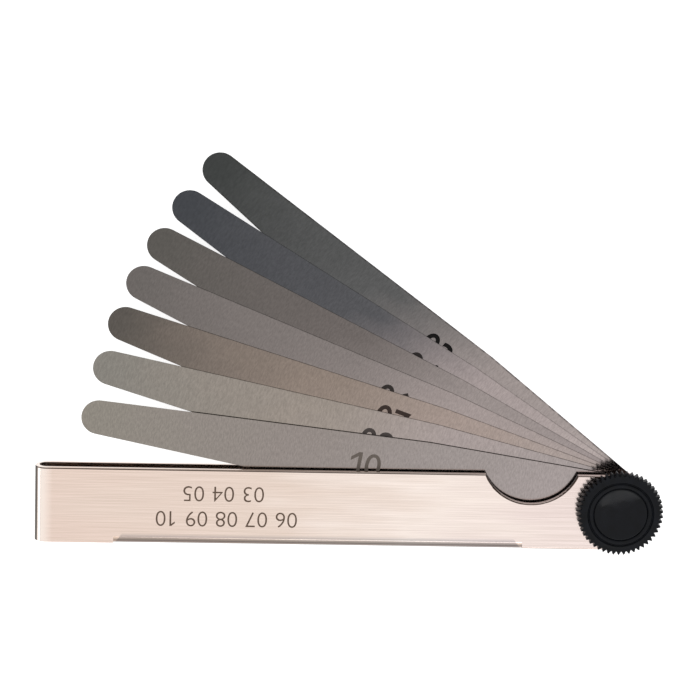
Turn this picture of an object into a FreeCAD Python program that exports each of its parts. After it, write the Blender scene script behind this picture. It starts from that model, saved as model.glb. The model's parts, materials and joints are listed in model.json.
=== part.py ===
"""Feeler gauge with a folded sheet case, eight tapered leaves and a knurled clamp knob.

The gauge lies flat. Z = 0 is the outer face of the screw head at the back, +Z points out of the
front plate towards the knob, and the pivot axis is X = Y = 0. The case reaches along -X, and the
leaves swing open from it towards +Y. All lengths are millimetres, all angles degrees.
"""
import FreeCAD, Part
import math
import os

import Sketcher

Vector = FreeCAD.Vector
UP = Vector(0, 0, 1)

# Driving dimensions. Each becomes a named cell of the sheet.
DIMENSIONS = {
    # leaves
    "leaf_length": 100.0,
    "leaf_width": 12.0,
    "leaf_parallel": 36.5,
    "leaf_tip_radius": 3.2,
    "leaf_gap": 0.08,
    "running_clearance": 0.05,
    # folded sheet case
    "sheet": 0.8,
    "case_gap": 2.6,
    "case_reach": 107.0,
    "case_top": 6.5,
    "case_height": 14.2,
    "case_end_shift": 0.6,
    "notch_centre": 16.3,
    "notch_radius": 9.2,
    "notch_floor": 0.95,
    "flange_start": 92.6,
    "flange_end": 17.6,
    "flange_bend": 1.6,
    "flange_stand": 0.25,
    "seam_gap": 0.05,
    "edge_roll": 0.3,
    # screw through the pivot
    "head_radius": 5.5,
    "head_height": 1.2,
    "head_chamfer": 0.3,
    "neck_side": 6.2,
    "journal_radius": 3.0,
    "thread_radius": 2.0,
    "thread_end": 7.3,
    # discs on the screw
    "spacer_radius": 5.8,
    "back_spacer_height": 0.6,
    "washer_radius": 5.6,
    "washer_height": 0.3,
    # clamp knob
    "boss_radius": 4.2,
    "boss_height": 0.3,
    "insert_radius": 3.1,
    "knob_radius": 7.9,
    "knob_height": 2.6,
    "knob_rear_chamfer": 0.35,
    "knob_crest_height": 1.85,
    "knob_shoulder_radius": 7.15,
    "knob_shoulder_height": 2.25,
    "knob_face_radius": 6.2,
    "knob_face_height": 2.45,
    "bead_outer_radius": 5.95,
    "bead_crest_radius": 5.45,
    "recess_radius": 4.9,
    "recess_floor": 1.6,
    "tooth_count": 50,
    "tooth_depth": 0.7,
    "tooth_open": 0.84,
    "cap_edge": 0.6,
    "cap_middle": 0.2,
    "fit_gap": 0.03,
}

# Leaf marks with their thickness and how far each stands open, from the back of the stack forward.
LEAVES = {
    "03": (0.03, 39.7),
    "04": (0.04, 34.5),
    "05": (0.05, 29.6),
    "06": (0.06, 24.9),
    "07": (0.07, 20.0),
    "08": (0.08, 14.9),
    "09": (0.09, 0.0),
    "10": (0.10, 9.3),
}

HORIZONTAL_AXIS = -1
VERTICAL_AXIS = -2
START = 1
END = 2
CENTRE = 3


class Size:
    """A number together with the sheet expression that gives it."""

    def __init__(self, value, text):
        self.value = value
        self.text = text

    def combine(self, other, sign, value):
        text = other.text if isinstance(other, Size) else str(other)
        return Size(value, f"({self.text} {sign} {text})")

    def __add__(self, other):
        return self.combine(other, "+", self.value + number(other))

    def __sub__(self, other):
        return self.combine(other, "-", self.value - number(other))

    def __mul__(self, other):
        return self.combine(other, "*", self.value * number(other))

    def __truediv__(self, other):
        return self.combine(other, "/", self.value / number(other))

    def __neg__(self):
        return Size(-self.value, f"(0 - {self.text})")


def number(item):
    return item.value if isinstance(item, Size) else item


def add_sheet(doc):
    """Write the driving dimensions into a sheet and return them by name as sizes."""
    sheet = doc.addObject("Spreadsheet::Sheet", "dims")
    cells = dict(DIMENSIONS)
    for mark, (thickness, opening) in LEAVES.items():
        cells[f"thickness_{mark}"] = thickness
        cells[f"opening_{mark}"] = opening
    for row, (name, value) in enumerate(cells.items(), start=1):
        sheet.set(f"A{row}", name)
        sheet.set(f"B{row}", str(value))
        sheet.setAlias(f"B{row}", name)
    doc.recompute()
    return {name: Size(value, f"dims.{name}") for name, value in cells.items()}


def bind(item, prop, size):
    item.setExpression(prop, size.text)


# Sketch helpers

def add_body(doc, name):
    body = doc.addObject("PartDesign::Body", name)
    body.Label = name
    return body


def add_sketch(body, name, plane, offset=None):
    """A sketch on one of the body's own origin planes, moved along its normal by offset."""
    sketch = body.newObject("Sketcher::SketchObject", name)
    support = [feature for feature in body.Origin.OriginFeatures if feature.Role == plane]
    sketch.AttachmentSupport = (support[0], [""])
    sketch.MapMode = "FlatFace"
    if offset is not None:
        bind(sketch, "AttachmentOffset.Base.z", offset)
    return sketch


def join(sketch, first, first_point, second, second_point):
    sketch.addConstraint(
        Sketcher.Constraint("Coincident", first, first_point, second, second_point))


def blend(sketch, first, first_point, second, second_point):
    """Two curves meet end to end with a common tangent."""
    sketch.addConstraint(
        Sketcher.Constraint("Tangent", first, first_point, second, second_point))


def set_radius(sketch, curve, size):
    index = sketch.addConstraint(Sketcher.Constraint("Radius", curve, size.value))
    sketch.setExpression(f"Constraints[{index}]", size.text)


def place(sketch, curve, point, kind, size):
    """Fix one coordinate of a point, measured from the sketch origin."""
    if size == 0:
        axis = VERTICAL_AXIS if kind == "DistanceX" else HORIZONTAL_AXIS
        sketch.addConstraint(Sketcher.Constraint("PointOnObject", curve, point, axis))
        return
    if size.value > 0:
        ends = (-1, START, curve, point)
        length = size
    else:
        ends = (curve, point, -1, START)
        length = -size
    index = sketch.addConstraint(Sketcher.Constraint(kind, *ends, length.value))
    sketch.setExpression(f"Constraints[{index}]", length.text)


def place_point(sketch, curve, point, across, along):
    place(sketch, curve, point, "DistanceX", across)
    place(sketch, curve, point, "DistanceY", along)


def add_line(sketch, start, end):
    return sketch.addGeometry(Part.LineSegment(Vector(*start), Vector(*end)), False)


def add_arc(sketch, centre, radius, start_angle, end_angle):
    circle = Part.Circle(Vector(*centre), UP, radius)
    start = math.radians(start_angle)
    end = math.radians(end_angle)
    return sketch.addGeometry(Part.ArcOfCircle(circle, start, end), False)


def add_circle(sketch, across, along, radius):
    centre = Vector(number(across), number(along))
    curve = sketch.addGeometry(Part.Circle(centre, UP, radius.value), False)
    place_point(sketch, curve, CENTRE, across, along)
    set_radius(sketch, curve, radius)
    return curve


def add_polygon(sketch, corners):
    """A closed outline of straight edges whose corners all have fixed coordinates."""
    points = [(number(across), number(along)) for across, along in corners]
    following = points[1:] + points[:1]
    edges = [add_line(sketch, start, end) for start, end in zip(points, following)]
    for edge, after in zip(edges, edges[1:] + edges[:1]):
        join(sketch, edge, END, after, START)
    for edge, (across, along) in zip(edges, corners):
        place_point(sketch, edge, START, across, along)
    return edges


# Feature helpers

def volume_of(feature):
    return feature.Shape.Volume


def add_pad(body, name, sketch, length):
    pad = body.newObject("PartDesign::Pad", name)
    pad.Profile = sketch
    bind(pad, "Length", length)
    body.Document.recompute()
    return pad


def add_pocket(body, name, sketch, depth=None):
    """Cut a sketch downwards by depth, or through everything both ways when depth is None."""
    before = volume_of(body.Tip)
    pocket = body.newObject("PartDesign::Pocket", name)
    pocket.Profile = sketch
    if depth is None:
        pocket.Type = "ThroughAll"
        pocket.Midplane = True
    else:
        bind(pocket, "Length", depth)
    body.Document.recompute()
    if volume_of(pocket) >= before:
        raise RuntimeError(f"{name} cuts nothing")
    return pocket


def add_revolution(body, name, sketch):
    turned = body.newObject("PartDesign::Revolution", name)
    turned.Profile = sketch
    turned.ReferenceAxis = (sketch, ["V_Axis"])
    turned.Angle = 360.0
    body.Document.recompute()
    return turned


def add_turned_profile(body, name, corners):
    """A solid of revolution about Z from a half profile of (radius, height) corners."""
    sketch = add_sketch(body, f"{name}_profile", "XZ_Plane")
    add_polygon(sketch, corners)
    return add_revolution(body, name, sketch)


# Sub-parts

def levels_of(size):
    """Heights of the sheet faces, named from the back of the gauge forward."""
    back_outer = size["head_height"] + 0
    back_inner = back_outer + size["sheet"]
    front_inner = back_inner + size["case_gap"]
    front_outer = front_inner + size["sheet"]
    return back_outer, back_inner, front_inner, front_outer


def add_fold(body, size):
    """The sheet strip folded back on itself: two plates joined by a round bend at the far end."""
    back_outer, back_inner, front_inner, front_outer = levels_of(size)
    outer_bend = size["case_gap"] / 2 + size["sheet"]
    inner_bend = size["case_gap"] / 2
    bend_x = outer_bend - size["case_reach"]
    bend_z = back_inner + inner_bend
    pivot_end = size["case_height"] / 2
    sketch = add_sketch(body, "fold_profile", "XZ_Plane", -size["case_top"])
    left = bend_x.value
    right = pivot_end.value
    centre = (left, bend_z.value)
    front = add_line(sketch, (right, front_outer.value), (left, front_outer.value))
    outer = add_arc(sketch, centre, outer_bend.value, 90, 270)
    back = add_line(sketch, (left, back_outer.value), (right, back_outer.value))
    back_end = add_line(sketch, (right, back_outer.value), (right, back_inner.value))
    back_inside = add_line(sketch, (right, back_inner.value), (left, back_inner.value))
    inner = add_arc(sketch, centre, inner_bend.value, 90, 270)
    front_inside = add_line(sketch, (left, front_inner.value), (right, front_inner.value))
    front_end = add_line(sketch, (right, front_inner.value), (right, front_outer.value))
    blend(sketch, front, END, outer, START)
    blend(sketch, outer, END, back, START)
    join(sketch, back, END, back_end, START)
    join(sketch, back_end, END, back_inside, START)
    blend(sketch, back_inside, END, inner, END)
    blend(sketch, inner, START, front_inside, START)
    join(sketch, front_inside, END, front_end, START)
    join(sketch, front_end, END, front, START)
    for line in (front, back, back_inside, front_inside):
        sketch.addConstraint(Sketcher.Constraint("Horizontal", line))
    for line in (back_end, front_end):
        sketch.addConstraint(Sketcher.Constraint("Vertical", line))
        place(sketch, line, START, "DistanceX", pivot_end)
    join(sketch, outer, CENTRE, inner, CENTRE)
    place_point(sketch, outer, CENTRE, bend_x, bend_z)
    set_radius(sketch, outer, outer_bend)
    set_radius(sketch, inner, inner_bend)
    return add_pad(body, "fold", sketch, size["case_height"])


def round_pivot_end(body, size):
    """Round the plates' ends at the pivot to a half circle as wide as the case."""
    radius = size["case_height"] / 2
    middle = size["case_top"] - radius
    centre_x = -size["case_end_shift"]
    far = size["case_height"]
    top = size["case_top"] + 1
    bottom = middle - radius - 1
    sketch = add_sketch(body, "pivot_end", "XY_Plane")
    x0 = centre_x.value
    upper = middle.value + radius.value
    lower = middle.value - radius.value
    arc = add_arc(sketch, (x0, middle.value), radius.value, -90, 90)
    rise = add_line(sketch, (x0, upper), (x0, top.value))
    over = add_line(sketch, (x0, top.value), (far.value, top.value))
    down = add_line(sketch, (far.value, top.value), (far.value, bottom.value))
    under = add_line(sketch, (far.value, bottom.value), (x0, bottom.value))
    back_up = add_line(sketch, (x0, bottom.value), (x0, lower))
    ring = (arc, rise, over, down, under, back_up)
    for line, after in zip(ring, ring[1:]):
        join(sketch, line, END, after, START)
    join(sketch, back_up, END, arc, START)
    for line in (rise, down, back_up):
        sketch.addConstraint(Sketcher.Constraint("Vertical", line))
    for line in (over, under):
        sketch.addConstraint(Sketcher.Constraint("Horizontal", line))
    place_point(sketch, arc, CENTRE, centre_x, middle)
    set_radius(sketch, arc, radius)
    sketch.addConstraint(Sketcher.Constraint("Vertical", arc, CENTRE, arc, END))
    sketch.addConstraint(Sketcher.Constraint("Vertical", arc, CENTRE, arc, START))
    place_point(sketch, down, START, far, top)
    place(sketch, down, END, "DistanceY", bottom)
    return add_pocket(body, "rounded_end", sketch)


def cut_notch(body, size):
    """The thumb notch in the upper edge of both plates."""
    sketch = add_sketch(body, "notch_circle", "XY_Plane")
    add_circle(sketch, -size["notch_centre"], size["notch_floor"] + size["notch_radius"],
               size["notch_radius"])
    return add_pocket(body, "thumb_notch", sketch)


def cut_holes(body, size):
    """A square hole in the back plate stops the screw turning; the front hole is round."""
    levels = levels_of(size)
    half = size["neck_side"] / 2 + size["fit_gap"]
    square = add_sketch(body, "square_hole", "XY_Plane", levels[1])
    add_polygon(square, [(-half, -half), (half, -half), (half, half), (-half, half)])
    add_pocket(body, "neck_hole", square, size["sheet"])
    circle = add_sketch(body, "round_hole", "XY_Plane", levels[3])
    add_circle(circle, 0, 0, size["journal_radius"] + size["running_clearance"])
    return add_pocket(body, "journal_hole", circle, size["sheet"])


def cut_strip(body, name, size, level, edge):
    """Take away a plate's lower edge, up to the height edge, along the flange."""
    below = size["case_top"] - size["case_height"] - 1
    start = -size["flange_start"]
    end = -size["flange_end"]
    sketch = add_sketch(body, f"{name}_outline", "XY_Plane", level)
    add_polygon(sketch, [(start, below), (end, below), (end, edge), (start, edge)])
    return add_pocket(body, name, sketch, size["sheet"])


def add_flange(body, size):
    """The front plate's lower edge bends back and closes the case as far as the back plate.

    The blank is wider there, so the flange stands a little below the plate's edge."""
    back_outer, back_inner, front_inner, front_outer = levels_of(size)
    bottom = size["case_top"] - size["case_height"] - size["flange_stand"]
    outer_bend = size["flange_bend"]
    inner_bend = outer_bend - size["sheet"]
    bend_y = bottom + outer_bend
    bend_z = front_outer - outer_bend
    cut_strip(body, "back_seam", size, back_inner, bottom + size["sheet"] + size["seam_gap"])
    cut_strip(body, "bend_window", size, front_outer, bend_y)
    sketch = add_sketch(body, "flange_profile", "YZ_Plane", -size["flange_start"])
    centre = (bend_y.value, bend_z.value)
    outside = bottom.value
    inside = outside + size["sheet"].value
    floor = back_outer.value
    outer = add_arc(sketch, centre, outer_bend.value, 90, 180)
    drop = add_line(sketch, (outside, bend_z.value), (outside, floor))
    foot = add_line(sketch, (outside, floor), (inside, floor))
    rise = add_line(sketch, (inside, floor), (inside, bend_z.value))
    inner = add_arc(sketch, centre, inner_bend.value, 90, 180)
    root = add_line(sketch, (bend_y.value, front_inner.value), (bend_y.value, front_outer.value))
    blend(sketch, outer, END, drop, START)
    join(sketch, drop, END, foot, START)
    join(sketch, foot, END, rise, START)
    blend(sketch, rise, END, inner, END)
    join(sketch, inner, START, root, START)
    join(sketch, root, END, outer, START)
    for line in (drop, rise, root):
        sketch.addConstraint(Sketcher.Constraint("Vertical", line))
    sketch.addConstraint(Sketcher.Constraint("Horizontal", foot))
    join(sketch, outer, CENTRE, inner, CENTRE)
    place_point(sketch, outer, CENTRE, bend_y, bend_z)
    set_radius(sketch, outer, outer_bend)
    set_radius(sketch, inner, inner_bend)
    sketch.addConstraint(Sketcher.Constraint("Vertical", inner, CENTRE, root, START))
    place(sketch, foot, START, "DistanceY", back_outer)
    return add_pad(body, "flange", sketch, size["flange_start"] - size["flange_end"])


def roll_edges(body, size):
    """Punching rounds the front plate's upper edge and the rim of its thumb notch."""
    front = levels_of(size)[3].value
    top = size["case_top"].value
    floor = size["notch_floor"].value
    base = body.Tip
    names = []
    for index, edge in enumerate(base.Shape.Edges, start=1):
        box = edge.BoundBox
        on_face = abs(box.ZMin - front) < 1e-4 and abs(box.ZMax - front) < 1e-4
        on_top = abs(box.YMax - top) < 1e-4
        straight = abs(box.YMin - top) < 1e-4
        notch = abs(box.YMin - floor) < 1e-4
        if on_face and on_top and (straight or notch):
            names.append(f"Edge{index}")
    roll = body.newObject("PartDesign::Fillet", "rolled_edges")
    roll.Base = (base, names)
    bind(roll, "Radius", size["edge_roll"])
    body.Document.recompute()
    return roll


def make_case(doc, size):
    body = add_body(doc, "case")
    add_fold(body, size)
    round_pivot_end(body, size)
    cut_notch(body, size)
    cut_holes(body, size)
    add_flange(body, size)
    body.Tip = roll_edges(body, size)
    return body


def add_leaf_outline(sketch, size):
    """A leaf along +X: round root about the pivot, parallel stretch, taper and round tip."""
    half = size["leaf_width"] / 2
    tip_radius = size["leaf_tip_radius"]
    tip_x = size["leaf_length"] - tip_radius
    side = half.value
    bend = size["leaf_parallel"].value
    tip = (tip_x.value, 0)
    low = (tip_x.value, -tip_radius.value)
    high = (tip_x.value, tip_radius.value)
    root = add_arc(sketch, (0, 0), side, 90, 270)
    lower = add_line(sketch, (0, -side), (bend, -side))
    lower_taper = add_line(sketch, (bend, -side), low)
    nose = add_arc(sketch, tip, tip_radius.value, -90, 90)
    upper_taper = add_line(sketch, high, (bend, side))
    upper = add_line(sketch, (bend, side), (0, side))
    place_point(sketch, root, CENTRE, 0, 0)
    set_radius(sketch, root, half)
    blend(sketch, root, END, lower, START)
    join(sketch, lower, END, lower_taper, START)
    blend(sketch, lower_taper, END, nose, START)
    blend(sketch, nose, END, upper_taper, START)
    join(sketch, upper_taper, END, upper, START)
    blend(sketch, upper, END, root, START)
    sketch.addConstraint(Sketcher.Constraint("Horizontal", lower))
    sketch.addConstraint(Sketcher.Constraint("Horizontal", upper))
    place(sketch, lower, END, "DistanceX", size["leaf_parallel"])
    place(sketch, upper, START, "DistanceX", size["leaf_parallel"])
    place_point(sketch, nose, CENTRE, tip_x, 0)
    set_radius(sketch, nose, tip_radius)
    add_circle(sketch, 0, 0, size["journal_radius"] + size["running_clearance"])


def make_leaf(doc, size, mark, level):
    """One leaf, turned about the pivot from the case's direction to where it stands open."""
    body = add_body(doc, f"leaf_{mark}")
    sketch = add_sketch(body, f"leaf_{mark}_outline", "XY_Plane")
    add_leaf_outline(sketch, size)
    add_pad(body, f"leaf_{mark}_sheet", sketch, size[f"thickness_{mark}"])
    bind(body, "Placement.Base.z", level)
    half_turn = Size(180.0, "180")
    bind(body, "Placement.Rotation.Angle", half_turn - size[f"opening_{mark}"])
    return body


def make_leaves(doc, size):
    """The stack of leaves. Returns them with the height where the stack ends."""
    level = levels_of(size)[1] + size["back_spacer_height"] + size["leaf_gap"]
    leaves = []
    for mark in LEAVES:
        leaves.append(make_leaf(doc, size, mark, level))
        level = level + size[f"thickness_{mark}"] + size["leaf_gap"]
    return leaves, level


def make_screw(doc, size):
    """Low head, square neck, plain journal for the leaves, and the M4 end for the knob."""
    back_outer, back_inner, front_inner, front_outer = levels_of(size)
    head = size["head_radius"]
    chamfer = size["head_chamfer"]
    journal = size["journal_radius"]
    thread = size["thread_radius"]
    shoulder = front_inner + size["sheet"] / 2
    end = size["thread_end"]
    body = add_body(doc, "clamp_screw")
    add_turned_profile(body, "screw_turned", [
        (0, 0), (head - chamfer, 0), (head, chamfer), (head, back_outer),
        (journal, back_outer), (journal, shoulder), (thread, shoulder),
        (thread, end - chamfer), (thread - chamfer, end), (0, end)])
    half = size["neck_side"] / 2
    square = add_sketch(body, "neck_outline", "XY_Plane", back_outer)
    add_polygon(square, [(-half, -half), (half, -half), (half, half), (-half, half)])
    add_pad(body, "square_neck", square, size["sheet"])
    return body


def make_disc(doc, name, radius, bore, height, level):
    """A flat ring lying at a given height on the screw."""
    body = add_body(doc, name)
    sketch = add_sketch(body, f"{name}_outline", "XY_Plane")
    add_circle(sketch, 0, 0, radius)
    add_circle(sketch, 0, 0, bore)
    add_pad(body, f"{name}_blank", sketch, height)
    bind(body, "Placement.Base.z", level)
    return body


def make_discs(doc, size, stack_end):
    """Spacers that fill the case either side of the leaves, and the washer under the knob."""
    back_outer, back_inner, front_inner, front_outer = levels_of(size)
    radius = size["spacer_radius"]
    bore = size["journal_radius"] + size["running_clearance"]
    washer_bore = size["thread_radius"] + size["running_clearance"]
    return [
        make_disc(doc, "back_spacer", radius, bore, size["back_spacer_height"], back_inner),
        make_disc(doc, "front_spacer", radius, bore, front_inner - stack_end, stack_end),
        make_disc(doc, "clamp_washer", size["washer_radius"], washer_bore,
                  size["washer_height"], front_outer),
    ]


def cut_teeth(body, size):
    """Straight V teeth round the knob's rim."""
    depth = size["tooth_depth"]
    half = size["tooth_open"] / 2
    root = size["knob_radius"] - depth
    rim = size["knob_radius"] + size["fit_gap"]
    sketch = add_sketch(body, "tooth_gap", "XY_Plane", size["knob_height"])
    add_polygon(sketch, [(root, 0), (rim, -half), (rim, half)])
    gap = add_pocket(body, "tooth_cut", sketch, size["knob_height"])
    before = volume_of(gap)
    teeth = body.newObject("PartDesign::PolarPattern", "teeth")
    teeth.Originals = [gap]
    teeth.Axis = (sketch, ["N_Axis"])
    teeth.Angle = 360.0
    teeth.Occurrences = int(size["tooth_count"].value)
    bind(teeth, "Occurrences", size["tooth_count"])
    body.Tip = teeth
    body.Document.recompute()
    if volume_of(teeth) >= before:
        raise RuntimeError("the tooth pattern cuts nothing")


def make_knob_body(doc, size, level):
    """The knurled rim with its sloping face, bead and recess, open in the middle."""
    bore = size["insert_radius"] + size["fit_gap"]
    rim = size["knob_radius"]
    chamfer = size["knob_rear_chamfer"]
    face = size["knob_face_radius"]
    face_height = size["knob_face_height"]
    bead = size["bead_crest_radius"]
    recess = size["recess_radius"]
    bead_side = size["knob_height"] - (bead - recess) / 2
    groove = size["bead_outer_radius"]
    groove_floor = face_height - (face - groove)
    body = add_body(doc, "knob_body")
    add_turned_profile(body, "knob_turned", [
        (bore, 0), (rim - chamfer, 0), (rim, chamfer), (rim, size["knob_crest_height"]),
        (size["knob_shoulder_radius"], size["knob_shoulder_height"]),
        (face, face_height), (groove, groove_floor), (bead, size["knob_height"]),
        (recess, bead_side), (recess, size["recess_floor"]), (bore, size["recess_floor"])])
    cut_teeth(body, size)
    bind(body, "Placement.Base.z", level)
    return body


def make_knob_insert(doc, size, level):
    """The threaded metal insert: a boss that bears on the washer and a stem inside the knob."""
    bore = size["thread_radius"] + size["running_clearance"]
    boss = size["boss_radius"]
    boss_top = size["boss_height"] + 0
    stem = size["insert_radius"]
    top = boss_top + size["recess_floor"]
    body = add_body(doc, "knob_insert")
    add_turned_profile(body, "insert_turned", [
        (bore, 0), (boss, 0), (boss, boss_top), (stem, boss_top), (stem, top), (bore, top)])
    bind(body, "Placement.Base.z", level)
    return body


def make_knob_cap(doc, size, level):
    """The dished disc that closes the knob's recess."""
    radius = size["recess_radius"] - size["fit_gap"]
    edge = size["cap_edge"]
    middle = size["cap_middle"]
    body = add_body(doc, "knob_cap")
    sketch = add_sketch(body, "cap_profile", "XZ_Plane")
    rise = edge.value - middle.value
    dish_radius = (radius.value ** 2 + rise ** 2) / (2 * rise)
    dish_z = middle.value + dish_radius
    edge_angle = -math.degrees(math.asin((dish_z - edge.value) / dish_radius))
    base = add_line(sketch, (0, 0), (radius.value, 0))
    side = add_line(sketch, (radius.value, 0), (radius.value, edge.value))
    dish = add_arc(sketch, (0, dish_z), dish_radius, -90, edge_angle)
    stem = add_line(sketch, (0, middle.value), (0, 0))
    join(sketch, base, END, side, START)
    join(sketch, side, END, dish, END)
    join(sketch, dish, START, stem, START)
    join(sketch, stem, END, base, START)
    place_point(sketch, base, START, 0, 0)
    place_point(sketch, side, START, radius, 0)
    place_point(sketch, dish, END, radius, edge)
    place_point(sketch, dish, START, 0, middle)
    place(sketch, dish, CENTRE, "DistanceX", 0)
    add_revolution(body, "cap_turned", sketch)
    bind(body, "Placement.Base.z", level)
    return body


def make_knob(doc, size):
    washer_top = levels_of(size)[3] + size["washer_height"]
    rear = washer_top + size["boss_height"]
    return [
        make_knob_body(doc, size, rear),
        make_knob_insert(doc, size, washer_top),
        make_knob_cap(doc, size, rear + size["recess_floor"]),
    ]


def check_document(doc, parts):
    """Stop when any feature failed or any sub-part is not one valid solid."""
    for item in doc.Objects:
        if "Invalid" in item.State or "Error" in item.State:
            raise RuntimeError(f"{item.Name} failed: {item.State}")
    for part in parts:
        shape = part.Shape
        if shape.isNull() or not shape.isValid() or len(shape.Solids) != 1:
            raise RuntimeError(f"{part.Label} is not one valid solid")


def main():
    doc = FreeCAD.newDocument("feeler_gauge")
    size = add_sheet(doc)
    leaves, stack_end = make_leaves(doc, size)
    parts = [make_case(doc, size), make_screw(doc, size)]
    parts += leaves
    parts += make_discs(doc, size, stack_end)
    parts += make_knob(doc, size)
    doc.recompute()
    check_document(doc, parts)
    os.makedirs("parts", exist_ok=True)
    for part in parts:
        part.Shape.exportStep(f"parts/{part.Label}.step")
        box = part.Shape.BoundBox
        print(f"{part.Label:14s} volume {part.Shape.Volume:9.3f}"
              f"  x {box.XMin:8.2f} {box.XMax:7.2f}"
              f"  y {box.YMin:7.2f} {box.YMax:6.2f}"
              f"  z {box.ZMin:5.2f} {box.ZMax:5.2f}")


main()
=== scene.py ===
import json
import math

import bmesh
import bpy
from mathutils import Matrix, Quaternion, Vector


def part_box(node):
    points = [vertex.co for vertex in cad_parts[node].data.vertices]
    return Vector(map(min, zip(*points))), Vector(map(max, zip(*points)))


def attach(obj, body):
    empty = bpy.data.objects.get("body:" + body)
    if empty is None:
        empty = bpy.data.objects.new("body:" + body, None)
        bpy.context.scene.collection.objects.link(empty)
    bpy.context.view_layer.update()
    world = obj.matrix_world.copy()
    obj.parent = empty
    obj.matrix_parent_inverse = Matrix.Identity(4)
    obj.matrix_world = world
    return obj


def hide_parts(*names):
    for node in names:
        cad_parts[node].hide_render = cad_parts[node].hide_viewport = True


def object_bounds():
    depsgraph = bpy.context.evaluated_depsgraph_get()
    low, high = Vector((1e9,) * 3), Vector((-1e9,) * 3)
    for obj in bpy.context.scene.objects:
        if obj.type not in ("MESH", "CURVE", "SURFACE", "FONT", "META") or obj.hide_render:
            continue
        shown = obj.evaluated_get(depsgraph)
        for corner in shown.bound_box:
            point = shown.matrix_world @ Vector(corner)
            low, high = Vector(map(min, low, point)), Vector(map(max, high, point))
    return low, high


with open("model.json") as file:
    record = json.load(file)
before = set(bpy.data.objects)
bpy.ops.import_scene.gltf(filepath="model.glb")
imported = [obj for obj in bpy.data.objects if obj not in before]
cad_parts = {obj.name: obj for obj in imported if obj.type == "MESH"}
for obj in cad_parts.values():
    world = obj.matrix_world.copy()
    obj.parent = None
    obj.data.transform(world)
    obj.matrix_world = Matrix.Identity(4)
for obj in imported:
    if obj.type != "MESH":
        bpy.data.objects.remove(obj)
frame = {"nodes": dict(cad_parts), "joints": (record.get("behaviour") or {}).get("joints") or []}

# The gauge lies on its screw head. Its pivot axis is X = Y = 0, the case reaches along -X and the
# leaves open towards +Y. Lengths are metres.
MM = 0.001
nodes = frame["nodes"]
cad_low, cad_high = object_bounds()


# ---------------------------------------------------------------- camera

# Degrees from straight above: tilted towards +Y, turned towards -X, rolled about the line of sight.
CAMERA_TILT = 15.1
CAMERA_TURN = 3.0
CAMERA_ROLL = 1.8
CAMERA_DISTANCE = 0.70
SENSOR_WIDTH = 36.0
VIEW_WIDTH = 127.0 * MM
VIEW_CENTRE = Vector((-50.25 * MM, 29.0 * MM, 3.3 * MM))


def make_camera():
    """A long lens that looks almost straight down on the front plate."""
    tilt = math.radians(CAMERA_TILT)
    turn = math.radians(CAMERA_TURN)
    back = Vector((-math.sin(turn), math.sin(tilt), math.cos(tilt))).normalized()
    data = bpy.data.cameras.new("camera")
    data.sensor_width = SENSOR_WIDTH
    data.lens = SENSOR_WIDTH * CAMERA_DISTANCE / VIEW_WIDTH
    data.clip_start = 0.01
    data.clip_end = 10.0
    camera = bpy.data.objects.new("camera", data)
    camera.location = VIEW_CENTRE + back * CAMERA_DISTANCE
    camera.rotation_mode = "QUATERNION"
    right = Vector((0, 1, 0)).cross(back).normalized()
    axes = Matrix((right, back.cross(right), back)).transposed()
    roll = Quaternion((0, 0, 1), math.radians(CAMERA_ROLL))
    camera.rotation_quaternion = axes.to_quaternion() @ roll
    bpy.context.scene.collection.objects.link(camera)
    bpy.context.scene.camera = camera


# ---------------------------------------------------------------- material helpers

# Noise seldom leaves this range.
NOISE_LOW = 0.3
NOISE_HIGH = 0.7
# The Mix node has a set of sockets for each data type: these are its factor and its two colours.
MIX_COLOUR_INPUTS = (0, 6, 7)
MIX_COLOUR_OUTPUT = 2


def linear(red, green, blue):
    """A colour given as 0 to 255 display values, in linear light."""
    def one(value):
        value = value / 255
        return value / 12.92 if value <= 0.04045 else ((value + 0.055) / 1.055) ** 2.4
    return (one(red), one(green), one(blue), 1.0)


def fill_ramp(ramp, stops):
    """Set a colour ramp's stops from (place, colour) pairs."""
    elements = ramp.elements
    while len(elements) < len(stops):
        elements.new(0.5)
    for element, (place, colour) in zip(elements, stops):
        element.position = place
        element.color = colour


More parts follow.
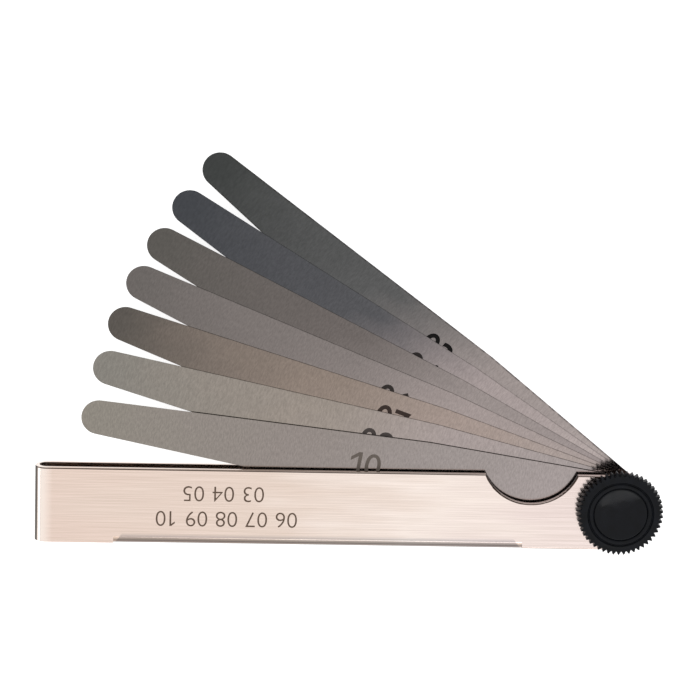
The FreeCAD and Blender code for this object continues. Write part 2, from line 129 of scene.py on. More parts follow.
class Shader:
    """A material with a Principled surface, and short calls for the nodes it uses."""

    def __init__(self, name, metallic, roughness, **sockets):
        self.material = bpy.data.materials.new(name)
        self.material.use_nodes = True
        self.tree = self.material.node_tree
        self.surface = self.tree.nodes["Principled BSDF"]
        self.surface.inputs["Metallic"].default_value = metallic
        self.surface.inputs["Roughness"].default_value = roughness
        for socket, value in sockets.items():
            self.surface.inputs[socket.replace("_", " ")].default_value = value
        self.texture = self.node("ShaderNodeTexCoord")
        self.place = self.texture.outputs["Object"]

    def node(self, kind, **settings):
        node = self.tree.nodes.new(kind)
        for key, value in settings.items():
            setattr(node, key, value)
        return node

    def link(self, output, socket):
        self.tree.links.new(output, socket)

    def turned(self, angle):
        """The place turned back by an angle about Z, so that X runs along a leaf."""
        mapping = self.node("ShaderNodeMapping")
        mapping.inputs["Rotation"].default_value = (0, 0, -angle)
        self.link(self.place, mapping.inputs["Vector"])
        return mapping.outputs["Vector"]

    def noise(self, scale, detail=3.0, place=None, rough=0.5):
        """Noise between 0 and 1, with its cells per metre along each axis."""
        mapping = self.node("ShaderNodeMapping")
        mapping.inputs["Scale"].default_value = scale
        self.link(place or self.place, mapping.inputs["Vector"])
        noise = self.node("ShaderNodeTexNoise")
        noise.inputs["Scale"].default_value = 1.0
        noise.inputs["Detail"].default_value = detail
        noise.inputs["Roughness"].default_value = rough
        self.link(mapping.outputs["Vector"], noise.inputs["Vector"])
        return noise.outputs["Fac"]

    def ramp(self, factor, stops):
        """A colour ramp from (place, colour) stops."""
        ramp = self.node("ShaderNodeValToRGB")
        fill_ramp(ramp.color_ramp, stops)
        self.link(factor, ramp.inputs["Fac"])
        return ramp.outputs["Color"]

    def span(self, factor, low, high, to_low, to_high):
        """A number mapped from one range to another."""
        span = self.node("ShaderNodeMapRange")
        span.inputs["From Min"].default_value = low
        span.inputs["From Max"].default_value = high
        span.inputs["To Min"].default_value = to_low
        span.inputs["To Max"].default_value = to_high
        self.link(factor, span.inputs["Value"])
        return span.outputs["Result"]

    def fill(self, sockets, values):
        """Feed each socket from another node's output, or give it a fixed value."""
        for socket, value in zip(sockets, values):
            if isinstance(value, bpy.types.NodeSocket):
                self.link(value, socket)
            else:
                socket.default_value = value

    def vary(self, noise, low, high):
        """A number that a noise moves between two values."""
        return self.span(noise, NOISE_LOW, NOISE_HIGH, low, high)

    def shades(self, noise, dark, light, noise_high=NOISE_HIGH):
        """A colour that a noise moves between two colours."""
        return self.ramp(noise, [(NOISE_LOW, dark), (noise_high, light)])

    def mix(self, first, second, factor, blend_type="MIX"):
        """Two colours mixed or, with another blend type, combined."""
        mix = self.node("ShaderNodeMix", data_type="RGBA", blend_type=blend_type)
        self.fill([mix.inputs[slot] for slot in MIX_COLOUR_INPUTS], (factor, first, second))
        return mix.outputs[MIX_COLOUR_OUTPUT]

    def math(self, operation, *values):
        """A sum, product or other operation on numbers."""
        node = self.node("ShaderNodeMath", operation=operation)
        self.fill(node.inputs, values)
        return node.outputs["Value"]

    def parts(self, vector):
        """The X, Y and Z of a vector, by name."""
        parts = self.node("ShaderNodeSeparateXYZ")
        self.link(vector, parts.inputs["Vector"])
        return parts.outputs

    def colour(self, output):
        self.link(output, self.surface.inputs["Base Color"])

    def roughness(self, output):
        self.link(output, self.surface.inputs["Roughness"])

    def bump(self, height, strength, depth):
        """Fine relief, its depth in metres."""
        bump = self.node("ShaderNodeBump")
        bump.inputs["Strength"].default_value = strength
        bump.inputs["Distance"].default_value = depth
        self.link(height, bump.inputs["Height"])
        self.link(bump.outputs["Normal"], self.surface.inputs["Normal"])


# ---------------------------------------------------------------- materials

WHITE = linear(255, 255, 255)
# Painted reflections on the plating, by how far its surface faces -Y (0) or +Y (1): a grey band on
# the bend below, a dark rolled edge and a bright cut edge above.
SIDE_PAINTED_REFLECTIONS = [
    (0.0, linear(190, 184, 176)), (0.2, linear(225, 220, 214)), (0.42, linear(240, 236, 230)),
    (0.495, WHITE), (0.53, WHITE), (0.57, linear(86, 78, 72)), (0.8, linear(74, 66, 60)),
    (0.88, WHITE), (1.0, WHITE),
]
# Painted dark reflection on the hairpin bend, by how far it faces -X (0).
END_PAINTED_REFLECTIONS = [
    (0.0, linear(70, 66, 60)), (0.09, linear(84, 78, 72)), (0.15, WHITE), (1.0, WHITE),
]
# Colour of the plate from its far end (0) to the pivot (1): its own tint, with a painted reflection
# that makes it paler towards the pivot.
PLATE_TINT_AND_REFLECTION = [
    (0.05, linear(229, 208, 196)), (0.4, linear(229, 211, 199)), (0.62, linear(244, 231, 223)),
    (0.9, linear(235, 219, 214)),
]
# The flange runs between two X. Its bend gets a painted dark reflection: the dark band fades out
# between two heights above the flange's foot, and its ends slant inwards by a share of the height.
FLANGE_REACH = (-92.6 * MM, -17.6 * MM)
FLANGE_BEND = 1.6 * MM
FLANGE_REFLECTION_FADE = (0.9 * FLANGE_BEND, 1.35 * FLANGE_BEND)
FLANGE_SLANT = 0.7
FLANGE_END_FADE = 0.25 * MM
FLANGE_REFLECTION_TONE = linear(204, 208, 214)
# A painted highlight makes the plate pale beside the hairpin bend, and fades out between two
# distances from the far end.
BEND_HIGHLIGHT_REACH = (0.9 * MM, 3.2 * MM)
BEND_HIGHLIGHT_TONE = linear(246, 234, 225)


def flange_dark_reflection(shader, along):
    """How much painted dark reflection the sheet gets: 1 on the flange's bend."""
    rise = shader.math("SUBTRACT", along["Y"], cad_low.y)
    bent = shader.span(rise, *FLANGE_REFLECTION_FADE, 1.0, 0.0)
    inset = shader.math(
        "MINIMUM", shader.math("SUBTRACT", along["X"], FLANGE_REACH[0]),
        shader.math("SUBTRACT", FLANGE_REACH[1], along["X"]))
    slant = shader.math("SUBTRACT", inset, shader.math("MULTIPLY", rise, FLANGE_SLANT))
    return shader.math("MULTIPLY", bent, shader.span(slant, 0.0, FLANGE_END_FADE, 0.0, 1.0))


def brushed_nickel():
    """Satin nickel plate, brushed along the case. Painted reflections make it a little paler
    towards the pivot and band its bends and edges, and a painted highlight lies beside the hairpin
    bend.
    """
    shader = Shader("brushed_nickel", 1.0, 0.35)
    along = shader.parts(shader.place)
    clouds = shader.noise((28, 120, 120), 3.0)
    drift = shader.vary(clouds, -0.16, 0.16)
    # Painted reflection along the case: the plate turns paler towards the pivot.
    reach = shader.math("ADD", shader.span(along["X"], cad_low.x, 0.0, 0.0, 1.0), drift)
    plate_and_reflection = shader.ramp(reach, PLATE_TINT_AND_REFLECTION)
    lines = shader.noise((60, 5200, 5200), 5.0)
    brushed = shader.shades(lines, linear(240, 238, 236), WHITE)
    sheet = shader.mix(plate_and_reflection, brushed, 1.0, "MULTIPLY")
    # Painted highlight beside the hairpin bend.
    highlight_from, highlight_to = (cad_low.x + distance for distance in BEND_HIGHLIGHT_REACH)
    painted_amount = shader.span(along["X"], highlight_from, highlight_to, 1.0, 0.0)
    sheet = shader.mix(sheet, BEND_HIGHLIGHT_TONE, painted_amount)
    # Painted reflections by the way each face turns: dark and bright bands on the bends and edges.
    normal = shader.parts(shader.texture.outputs["Normal"])
    for axis, tones in (("Y", SIDE_PAINTED_REFLECTIONS), ("X", END_PAINTED_REFLECTIONS)):
        facing = shader.span(normal[axis], -1.0, 1.0, 0.0, 1.0)
        sheet = shader.mix(sheet, shader.ramp(facing, tones), 1.0, "MULTIPLY")
    # Painted dark reflection on the flange's bend.
    darkened = shader.mix(sheet, FLANGE_REFLECTION_TONE, 1.0, "MULTIPLY")
    shader.colour(shader.mix(sheet, darkened, flange_dark_reflection(shader, along)))
    shader.roughness(shader.vary(lines, 0.12, 0.20))
    shader.bump(lines, 0.3, 3e-6)
    return shader.material


# Each leaf's colour with a painted reflection that darkens it towards the tip: at its tip, at 62 mm
# and at 34 mm from the pivot, and near its root.
LEAF_TINTS_AND_REFLECTIONS = {
    "03": ((66, 68, 67), (93, 93, 93), (158, 148, 145), (172, 161, 158)),
    "04": ((70, 72, 76), (88, 88, 91), (168, 156, 154), (180, 168, 165)),
    "05": ((94, 91, 87), (112, 105, 102), (156, 146, 143), (160, 149, 147)),
    "06": ((110, 105, 102), (133, 125, 122), (166, 154, 151), (172, 159, 155)),
    "07": ((94, 89, 84), (145, 131, 121), (168, 152, 144), (173, 160, 155)),
    "08": ((138, 134, 127), (156, 146, 137), (171, 159, 156), (168, 158, 156)),
    "09": ((145, 139, 130), (150, 141, 135), (160, 151, 147), (168, 158, 156)),
    "10": ((146, 140, 131), (150, 141, 136), (160, 151, 148), (168, 158, 156)),
}
# The places of those four colours, from the root to the tip, as shares of the leaf's length.
REFLECTION_PLACES = (0.16, 0.34, 0.62, 0.98)
LEAF_LENGTH = 100 * MM
LEAF_HALF_WIDTH = 6.0 * MM
LEAF_PARALLEL = 36.5 * MM
# Half width lost for each metre past the parallel part.
LEAF_TAPER = 0.0464
# How wide and how dark the painted shade line along a leaf's sheared edge is. Leaf 03, at the open
# side of the fan, gets the widest and darkest line.
EDGE_SHADE_WIDTH = 0.16 * MM
OPEN_EDGE_SHADE_WIDTH = 2.2 * EDGE_SHADE_WIDTH
EDGE_SHADE_TONE = linear(48, 45, 43)
EDGE_SHADE_STRENGTH = 0.36
OTHER_EDGE_SHADE_STRENGTHS = {"03": 1.0, "10": 0.15}


def edge_shade_mask(shader, along, width):
    """How near a point is to the sheared edge of its leaf, where a shade line is painted: 0 inside
    the leaf, 1 at the edge.
    """
    parts = shader.parts(along)
    past = shader.math("MAXIMUM", shader.math("SUBTRACT", parts["X"], LEAF_PARALLEL), 0.0)
    taper = shader.math("MULTIPLY", past, LEAF_TAPER)
    half = shader.math("SUBTRACT", LEAF_HALF_WIDTH, taper)
    inset = shader.math("SUBTRACT", half, shader.math("ABSOLUTE", parts["Y"]))
    return shader.span(inset, 0.0, width, 1.0, 0.0)


def ground_steel(mark, angle):
    """Ground spring steel, with the grain across the leaf, a painted reflection that darkens it
    towards the tip, and a painted shade line along its edge.
    """
    shader = Shader(f"ground_steel_{mark}", 1.0, 0.42)
    along = shader.turned(angle)
    distance = shader.node("ShaderNodeVectorMath", operation="LENGTH")
    shader.link(shader.place, distance.inputs[0])
    reach = shader.math("DIVIDE", distance.outputs["Value"], LEAF_LENGTH)
    clouds = shader.noise((60, 90, 90), 3.0, along)
    reach = shader.math("ADD", reach, shader.vary(clouds, -0.05, 0.05))
    # Painted reflection that darkens each leaf towards its tip, over the steel's own tint.
    colours = [linear(*colour) for colour in reversed(LEAF_TINTS_AND_REFLECTIONS[mark])]
    reflected_tint = shader.ramp(reach, list(zip(REFLECTION_PLACES, colours)))
    grain = shader.noise((4200, 1300, 1300), 4.0, along)
    shade = shader.shades(grain, linear(228, 228, 228), WHITE)
    ground = shader.mix(reflected_tint, shade, 1.0, "MULTIPLY")
    # A painted shade line along the leaf's sheared edge, broken up by noise.
    width = OPEN_EDGE_SHADE_WIDTH if mark == "03" else EDGE_SHADE_WIDTH
    painted_amount = shader.span(shader.noise((900, 300, 300), 2.0, along), 0.42, 0.58, 0.2, 1.0)
    strength = shader.math("MULTIPLY", painted_amount, OTHER_EDGE_SHADE_STRENGTHS.get(mark, EDGE_SHADE_STRENGTH))
    edge = shader.math("MULTIPLY", edge_shade_mask(shader, along, width), strength)
    shader.colour(shader.mix(ground, EDGE_SHADE_TONE, edge))
    shader.roughness(shader.vary(grain, 0.10, 0.17))
    shader.bump(grain, 0.1, 2e-6)
    return shader.material


def turned_steel():
    """Turned and plated steel of the screw, its washer and the spacers."""
    shader = Shader("turned_steel", 1.0, 0.3)
    distance = shader.node("ShaderNodeVectorMath", operation="LENGTH")
    shader.link(shader.place, distance.inputs[0])
    rings = shader.node("ShaderNodeTexNoise", noise_dimensions="1D")
    rings.inputs["Scale"].default_value = 9000.0
    shader.link(distance.outputs["Value"], rings.inputs["W"])
    ring = rings.outputs["Fac"]
    shader.colour(shader.shades(ring, linear(176, 170, 164), linear(214, 208, 202)))
    shader.roughness(shader.vary(ring, 0.22, 0.36))
    shader.bump(ring, 0.2, 3e-6)
    return shader.material


def turned_brass():
    """Turned brass of the knob's threaded insert."""
    shader = Shader("turned_brass", 1.0, 0.3)
    grain = shader.noise((3000, 3000, 9000), 3.0)
    shader.colour(shader.shades(grain, linear(178, 146, 88), linear(214, 184, 120)))
    shader.roughness(shader.vary(grain, 0.25, 0.4))
    shader.bump(grain, 0.2, 3e-6)
    return shader.material


def moulded_black():
    """Semi-matte black plastic of the knurled rim, greyer where fingers rub the teeth."""
    shader = Shader("moulded_black", 0.0, 0.34, Specular_IOR_Level=0.13)
    fine = shader.noise((6000, 6000, 6000), 3.0)
    clouds = shader.noise((700, 700, 700), 3.0)
    shader.colour(shader.shades(clouds, linear(6, 7, 10), linear(14, 16, 22), 0.75))
    shader.roughness(shader.vary(clouds, 0.30, 0.46))
    shader.bump(fine, 0.2, 1.2e-5)
    return shader.material


def polished_black():
    """Glossy black plastic of the knob's cap."""
    shader = Shader("polished_black", 0.0, 0.12, Specular_IOR_Level=0.14)
    clouds = shader.noise((500, 500, 500), 3.0)
    fine = shader.noise((2500, 2500, 2500), 2.0)
    shader.colour(shader.shades(clouds, linear(5, 6, 9), linear(10, 12, 18), 0.75))
    shader.roughness(shader.vary(clouds, 0.08, 0.2))
    shader.bump(fine, 0.12, 8e-6)
    return shader.material


def etched_black(name, dark, light):
    """The dull dark ground of an etched mark."""
    shader = Shader(name, 0.0, 0.8, Specular_IOR_Level=0.08)
    grain = shader.noise((9000, 9000, 9000), 3.0)
    shader.colour(shader.shades(grain, linear(*dark), linear(*light)))
    shader.roughness(shader.vary(grain, 0.6, 0.8))
    shader.bump(grain, 0.3, 4e-6)
    return shader.material


def pale_floor():
    """A pale table top that is lit from inside."""
    shader = Shader("pale_floor", 0.0, 0.9, Specular_IOR_Level=0.1,
                    Emission_Color=WHITE, Emission_Strength=0.8)
    clouds = shader.noise((40, 40, 40), 3.0)
    shader.colour(shader.shades(clouds, linear(205, 205, 205), linear(210, 210, 210)))
    shader.roughness(shader.vary(clouds, 0.85, 0.95))
    return shader.material


# ---------------------------------------------------------------- mesh helpers

# Vertices nearer than this are one, and faces within this many degrees of each other are one.
WELD_DISTANCE = 1e-7
FLAT_ANGLE = 0.5


def add_piece(name, mesh, material, body, slot, *replaced):
    """A piece that rides on a body, with its material and the CAD nodes it stands for. The slot
    name it is given is not used.
    """
    piece = bpy.data.objects.new(name, mesh)
    bpy.context.scene.collection.objects.link(piece)
    mesh.materials.clear()
    mesh.materials.append(material)
    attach(piece, body)
    if replaced:
        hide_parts(*replaced)
    return piece


def smooth(mesh, angle):
    """Smooth shading, broken at edges sharper than the angle in degrees."""
    for polygon in mesh.polygons:
        polygon.use_smooth = True
    mesh.set_sharp_from_angle(angle=math.radians(angle))


def lathe(rows, columns, radius_of):
    """A surface of rows of (key, height), closed round the axis, and its rings of vertices.

    radius_of(key, turn) gives the radius at a turn between 0 and 1."""
    mesh_data = bmesh.new()
    rings = []
    for key, height in rows:
        ring = []
        for column in range(columns):
            turn = column / columns
            radius = radius_of(key, turn)
            angle = math.tau * turn
            ring.append(mesh_data.verts.new(
                (radius * math.cos(angle), radius * math.sin(angle), height)))
        rings.append(ring)
    for ring, above in zip(rings, rings[1:]):
        join_rings(mesh_data, ring, above)
    return mesh_data, rings


def join_rings(mesh_data, ring, above):
    """A band of faces between two rings with the same number of vertices."""
    columns = len(ring)
    for column in range(columns):
        after = (column + 1) % columns
        mesh_data.faces.new((ring[column], ring[after], above[after], above[column]))


def to_mesh(mesh_data, name):
    """A mesh from working data, which is freed, with its faces turned outwards."""
    bmesh.ops.recalc_face_normals(mesh_data, faces=mesh_data.faces)
    mesh = bpy.data.meshes.new(name)
    mesh_data.to_mesh(mesh)
    mesh_data.free()
    return mesh


def refined(node, width, sharp_angle, smooth_angle):
    """A CAD node's surface with its flat faces joined up, its sharp edges broken to a width and
    its shading smooth across the others. Angles are degrees."""
    mesh_data = bmesh.new()
    mesh_data.from_mesh(nodes[node].data)
    bmesh.ops.remove_doubles(mesh_data, verts=mesh_data.verts, dist=WELD_DISTANCE)
    bmesh.ops.dissolve_limit(mesh_data, angle_limit=math.radians(FLAT_ANGLE),
                             verts=mesh_data.verts, edges=mesh_data.edges)
    sharp = [edge for edge in mesh_data.edges
             if edge.is_manifold and edge.calc_face_angle(0) > math.radians(sharp_angle)]
    bmesh.ops.bevel(mesh_data, geom=sharp, offset=width, offset_type="OFFSET", segments=2,
                    profile=0.5, affect="EDGES", clamp_overlap=True)
    mesh = to_mesh(mesh_data, f"{node}_refined")
    smooth(mesh, smooth_angle)
    return mesh


# ---------------------------------------------------------------- text

# Half the thickness of a mark, and about how many times its figures' height a font's size is.
TEXT_RELIEF = 0.004 * MM
FONT_SIZE_FOR_HEIGHT = 1.4
# A bar narrower than this share of its height is a 1. It moves right by some pen widths, and its
# flag's outline is given in pen widths from the bar's upper left corner.
ONE_WIDTH = 0.3
ONE_SHIFT = 1.1
ONE_FLAG = ((0.0, 0.0), (-2.0, -1.6), (-2.0, -2.7), (0.0, -1.2))


def islands(mesh_data):
    """The vertices of each separate glyph of a text's mesh."""
    seen = set()
    for start in list(mesh_data.verts):
        if start in seen:
            continue
        seen.add(start)
        island = [start]
        for vert in island:
            for edge in vert.link_edges:
                other = edge.other_vert(vert)
                if other not in seen:
                    seen.add(other)
                    island.append(other)
        yield island


def flag_ones(mesh):
    """Give each plain 1, the only glyph that is a mere bar, its short stroke at the top."""
    mesh_data = bmesh.new()
    mesh_data.from_mesh(mesh)
    bmesh.ops.remove_doubles(mesh_data, verts=mesh_data.verts, dist=WELD_DISTANCE)
    for island in list(islands(mesh_data)):
        low, high = ([pick(v.co[axis] for v in island) for axis in range(3)] for pick in (min, max))
        pen = high[0] - low[0]
        if pen > ONE_WIDTH * (high[1] - low[1]):
            continue
        bmesh.ops.translate(mesh_data, verts=island, vec=(ONE_SHIFT * pen, 0, 0))
        left = low[0] + ONE_SHIFT * pen
        outline = [(left + x * pen, high[1] + y * pen) for x, y in ONE_FLAG]
        back, front = ([mesh_data.verts.new((x, y, z)) for x, y in outline]
                       for z in (low[2], high[2]))
        mesh_data.faces.new(front)
        mesh_data.faces.new(back[::-1])
        for here in range(len(outline)):
            mesh_data.faces.new((back[here - 1], back[here], front[here], front[here - 1]))
    bmesh.ops.recalc_face_normals(mesh_data, faces=mesh_data.faces)
    mesh_data.to_mesh(mesh)
    mesh_data.free()


def extent(mesh, axis):
    """The least and the greatest coordinate of a mesh along an axis."""
    values = [vertex.co[axis] for vertex in mesh.vertices]
    return min(values), max(values)


def make_text(name, words, size, boldness):
    """Flat raised text as a mesh, centred on its own origin. Boldness widens its strokes."""
    curve = bpy.data.curves.new(name, "FONT")
    curve.body = words
    curve.size = size
    curve.align_x = "CENTER"
    curve.align_y = "CENTER"
    curve.offset = boldness
    curve.extrude = TEXT_RELIEF
    curve.resolution_u = 6
    holder = bpy.data.objects.new(name, curve)
    bpy.context.scene.collection.objects.link(holder)
    bpy.context.view_layer.update()
    mesh = bpy.data.meshes.new_from_object(holder)
    bpy.data.objects.remove(holder)
    middle = Vector((sum(extent(mesh, 0)) / 2, sum(extent(mesh, 1)) / 2, 0))
    mesh.transform(Matrix.Translation(-middle))
    flag_ones(mesh)
    return mesh


def add_text(name, words, height, place, angle, material, body, slot, boldness):
    """A mark whose figures have a given height, turned by an angle about Z."""
    mesh = make_text(name, words, height * FONT_SIZE_FOR_HEIGHT, boldness)
    low, high = extent(mesh, 1)
    mesh.transform(Matrix.Scale(height / (high - low), 4))
    mesh.transform(Matrix.Translation(place) @ Matrix.Rotation(angle, 4, "Z"))
    return add_piece(name, mesh, material, body, slot)


# ---------------------------------------------------------------- case

CASE_EDGE_BREAK = 0.08 * MM
CASE_SHARP_ANGLE = 40
CASE_SMOOTH_ANGLE = 50


def make_case(material):
    """The folded sheet, with its edges broken and its plates shaded flat."""
    mesh = refined("case", CASE_EDGE_BREAK, CASE_SHARP_ANGLE, CASE_SMOOTH_ANGLE)
    piece = add_piece("case_sheet", mesh, material, "frame", "case_sheet", "case")
    flat_faces = piece.modifiers.new("flat_faces", "WEIGHTED_NORMAL")
    flat_faces.mode = "FACE_AREA"
    flat_faces.weight = 100
    flat_faces.keep_sharp = True


# The middle of each row of marks on the case, in millimetres.
CASE_ROWS = (
    ("case_marks_upper", "03 04 05", -72.6, 1.9),
    ("case_marks_lower", "06 07 08 09 10", -72.0, -2.9),
)
CASE_MARK_HEIGHT = 2.9 * MM
CASE_MARK_BOLDNESS = -0.045 * MM
CASE_MARK_LIFT = 0.003 * MM
CASE_INK = ((72, 58, 48), (112, 94, 82))


def make_case_marks(material):
    """Two rows of plain leaf numbers, stamped upside down near the far end of the case."""
    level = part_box("case")[1].z + CASE_MARK_LIFT
    for name, words, x, y in CASE_ROWS:
        add_text(name, words, CASE_MARK_HEIGHT, Vector((x * MM, y * MM, level)), math.pi, material,
                 "frame", "case_sheet", CASE_MARK_BOLDNESS)


# ---------------------------------------------------------------- leaves

MARK_HEIGHT = 4.6 * MM
MARK_LIFT = 0.008 * MM
MARK_BOLDNESS = 0.1 * MM
FAINT_MARK_BOLDNESS = 0.01 * MM
# Where each mark is etched, in millimetres: its distance from the pivot, and how far it is off the
# leaf's middle.
MARK_PLACES = {
    "03": (45.4, 0.35), "04": (45.4, -0.05), "05": (45.5, -1.3), "06": (46.6, 0.15),
    "07": (45.2, 0.5), "08": (46.5, -0.25), "09": (46.0, 0.0), "10": (47.1, -0.25),
}
# The marks are paler and paler towards the thick leaves. Each colour is the dark of its grain.
INKS = {
    "03": (8, 6, 6), "04": (32, 28, 27), "05": (32, 28, 27), "06": (40, 35, 33),
    "07": (46, 36, 32), "08": (60, 54, 52), "09": (70, 62, 60), "10": (92, 84, 78),
}
INK_GRAIN = 14


def leaf_openings():
    """Each leaf's opening angle from the case, which its joint counts back to zero."""
    openings = {}
    for joint in frame["joints"]:
        if joint["child"].startswith("leaf_"):
            openings[joint["child"]] = math.radians(-joint["range_deg"][0])
    return openings


def make_leaves():
    """The material of each leaf, with its painted reflection and edge shade, and its mark."""
    for node, opening in leaf_openings().items():
        mark = node[-2:]
        angle = math.pi - opening
        nodes[node].material_slots[0].material = ground_steel(mark, angle)
        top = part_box(node)[1].z
        direction = Vector((math.cos(angle), math.sin(angle), 0))
        side = Vector((direction.y, -direction.x, 0))
        distance, offset = MARK_PLACES[mark]
        place = (direction * distance + side * offset) * MM + Vector((0, 0, top + MARK_LIFT))
        ink = INKS[mark]
        material = etched_black(f"etched_{mark}", ink, [value + INK_GRAIN for value in ink])
        boldness = FAINT_MARK_BOLDNESS if mark == "10" else MARK_BOLDNESS
        add_text(f"mark_{mark}", mark, MARK_HEIGHT, place, -opening, material, node, "leaf_steel",
                 boldness)


# ---------------------------------------------------------------- knob

TEETH = 50
COLUMNS_PER_TOOTH = 12
# Shares of half a tooth's pitch: the flat floor of the gap, and the flank that rises from it.
GAP_SHARE = 0.04
FLANK_SHARE = 0.82
# Half of the rim's section, in millimetres: the radius on a tooth's crest, the radius in the gap
# between teeth, and the height above the knob's base.
RIM_ROWS = [
    (3.2, 3.2, 0.0), (7.0, 7.0, 0.0), (7.2, 7.1, 0.02), (7.55, 7.18, 0.06), (7.75, 7.2, 0.15),
    (7.86, 7.2, 0.26), (7.9, 7.2, 0.38), (7.9, 7.2, 1.7), (7.86, 7.2, 1.82), (7.74, 7.19, 1.94),
    (7.48, 7.17, 2.06), (7.22, 7.13, 2.16), (7.05, 7.05, 2.22), (6.6, 6.6, 2.33),
    (6.28, 6.28, 2.42), (6.18, 6.18, 2.42), (6.1, 6.1, 2.36), (6.03, 6.03, 2.26),
    (5.96, 5.96, 2.19), (5.88, 5.88, 2.21), (5.8, 5.8, 2.33), (5.7, 5.7, 2.46),
    (5.58, 5.58, 2.55), (5.45, 5.45, 2.59), (5.3, 5.3, 2.57), (5.16, 5.16, 2.5),
    (5.04, 5.04, 2.38), (4.94, 4.94, 2.22), (4.9, 4.9, 2.08), (4.9, 4.9, 1.64),
    (4.86, 4.86, 1.6), (3.2, 3.2, 1.6),
]
RIM_RADIUS = 7.9
RIM_SMOOTH_ANGLE = 38

# The cap's section above its floor: the top of its wall, each step of the rounding as its distance
# in from the wall and its height, the middle of the dish, and the dish's rise out to the wall.
CAP_WALL = 0.55 * MM
CAP_ROUNDING = ((0.02 * MM, 0.61 * MM), (0.08 * MM, 0.64 * MM))
CAP_MIDDLE = 0.2 * MM
CAP_RISE = 0.45 * MM
CAP_COLUMNS = 128
CAP_STEPS = 24
CAP_SMOOTH_ANGLE = 40


def tooth_profile(turn):
    """How far a tooth stands out at a turn: 1 on its crest, 0 at the root of the gap."""
    phase = (turn * TEETH + 0.5) % 1
    slope = abs(2 * phase - 1)
    return min(1.0, max(0.0, (slope - GAP_SHARE) / FLANK_SHARE))


def make_knob_rim(material):
    """The knurled rim, with a groove round its face and a recess for the cap."""
    low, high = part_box("knob_body")
    unit = high.x / RIM_RADIUS
    rows = [((crest * unit, gap * unit), low.z + height * MM) for crest, gap, height in RIM_ROWS]

    def radius_of(key, turn):
        crest, gap = key
        return gap + (crest - gap) * tooth_profile(turn)

    mesh_data, rings = lathe(rows, TEETH * COLUMNS_PER_TOOTH, radius_of)
    join_rings(mesh_data, rings[-1], rings[0])
    mesh = to_mesh(mesh_data, "knob_rim")
    smooth(mesh, RIM_SMOOTH_ANGLE)
    add_piece("knob_rim", mesh, material, "knob", "knob_plastic", "knob_body")


def make_knob_dish(material):
    """The polished cap in the recess: a disc whose rounded edge falls to a shallow dish."""
    low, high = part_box("knob_cap")
    edge = high.x
    floor = low.z
    rows = [(edge, floor), (edge, floor + CAP_WALL)]
    rows += [(edge - inset, floor + height) for inset, height in CAP_ROUNDING]
    lip = rows[-1][0]
    for step in range(1, CAP_STEPS + 1):
        radius = lip * (1 - step / (CAP_STEPS + 1))
        rows.append((radius, floor + CAP_MIDDLE + CAP_RISE * (radius / edge) ** 2))
    mesh_data, rings = lathe(rows, CAP_COLUMNS, lambda radius, turn: radius)
    mesh_data.faces.new(rings[0][::-1])
    mesh_data.faces.new(rings[-1])
    mesh = to_mesh(mesh_data, "knob_dish")
    smooth(mesh, CAP_SMOOTH_ANGLE)
    add_piece("knob_dish", mesh, material, "knob", "cap_plastic", "knob_cap")


# ---------------------------------------------------------------- stage

FLOOR_HALF = 1.5


def make_floor():
    """A flat table under the gauge, which the metal doesn't mirror."""
    mesh = bpy.data.meshes.new("floor")
    corners = [(x * FLOOR_HALF, y * FLOOR_HALF, cad_low.z)
               for x, y in ((-1, -1), (1, -1), (1, 1), (-1, 1))]
    mesh.from_pydata(corners, [], [(0, 1, 2, 3)])
    floor = bpy.data.objects.new("floor", mesh)
    mesh.materials.append(pale_floor())
    bpy.context.scene.collection.objects.link(floor)
    floor.visible_glossy = False


# Brightness of the dome by the sine of the height: below the horizon, at it, above it, overhead.
DOME = ((-0.12, 1.0), (0.0, 0.35), (0.55, 0.95), (0.95, 1.0))
DOME_STRENGTH = 1.08
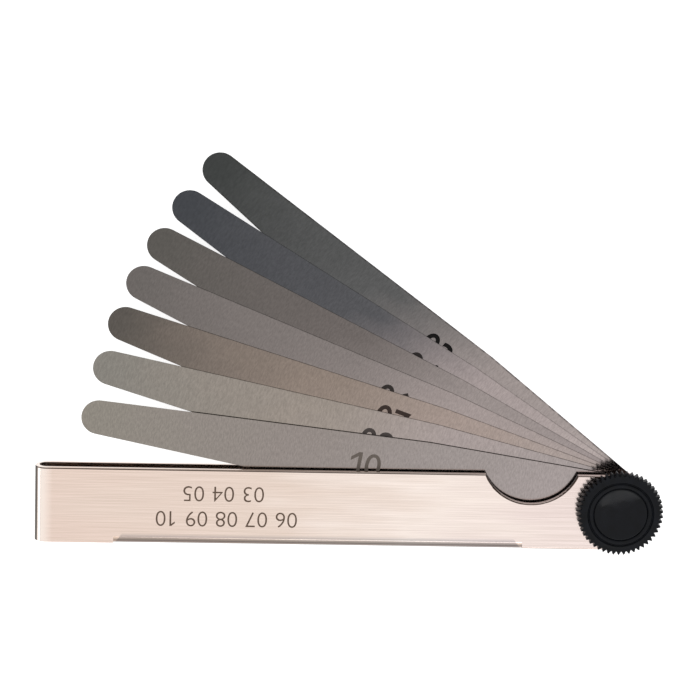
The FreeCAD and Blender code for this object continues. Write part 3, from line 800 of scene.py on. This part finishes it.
# Each lamp's place, the point it faces, its width, height and power.
GAUGE_MIDDLE = (-0.05, 0.02, 0.0)
LAMPS = (
    ("window", (-0.1, 0.9, 0.9), GAUGE_MIDDLE, 0.9, 0.6, 0.9),
    ("softbox", (0.12, -0.45, 0.7), (0.0, 0.0, 0.0), 0.42, 0.14, 0.35),
    ("side_strip", (-1.0, 0.05, 0.16), GAUGE_MIDDLE, 0.9, 0.4, 1.3),
)


def add_light(name, place, target, width, height, power):
    """A rectangular lamp that faces a point."""
    data = bpy.data.lights.new(name, "AREA")
    data.shape = "RECTANGLE"
    data.size = width
    data.size_y = height
    data.energy = power
    light = bpy.data.objects.new(name, data)
    light.location = place
    direction = Vector(target) - Vector(place)
    light.rotation_euler = direction.to_track_quat("-Z", "Y").to_euler()
    bpy.context.scene.collection.objects.link(light)


def make_light():
    """A pale dome that falls off towards the horizon, and three lamps."""
    world = bpy.data.worlds.new("studio")
    world.use_nodes = True
    tree = world.node_tree
    background = tree.nodes["Background"]
    background.inputs["Strength"].default_value = DOME_STRENGTH
    direction = tree.nodes.new("ShaderNodeTexCoord")
    parts = tree.nodes.new("ShaderNodeSeparateXYZ")
    height = tree.nodes.new("ShaderNodeMapRange")
    height.inputs["From Min"].default_value = -1.0
    dome = tree.nodes.new("ShaderNodeValToRGB")
    fill_ramp(dome.color_ramp, [
        (0.5 + 0.5 * sine, (level, level, level, 1.0)) for sine, level in DOME])
    tree.links.new(direction.outputs["Generated"], parts.inputs["Vector"])
    tree.links.new(parts.outputs["Z"], height.inputs["Value"])
    tree.links.new(height.outputs["Result"], dome.inputs["Fac"])
    tree.links.new(dome.outputs["Color"], background.inputs["Color"])
    bpy.context.scene.world = world
    for lamp in LAMPS:
        add_light(*lamp)
    bpy.context.scene.view_settings.view_transform = "Standard"


# ---------------------------------------------------------------- build

def dress_plain_nodes():
    """Materials for the pieces on the screw, which keep their CAD shape."""
    steel = turned_steel()
    for name in ("clamp_screw", "back_spacer", "front_spacer", "clamp_washer"):
        nodes[name].material_slots[0].material = steel
    nodes["knob_insert"].material_slots[0].material = turned_brass()


make_camera()
make_floor()
make_light()
dress_plain_nodes()
make_case(brushed_nickel())
make_case_marks(etched_black("stamped_ground", *CASE_INK))
make_leaves()
make_knob_rim(moulded_black())
make_knob_dish(polished_black())
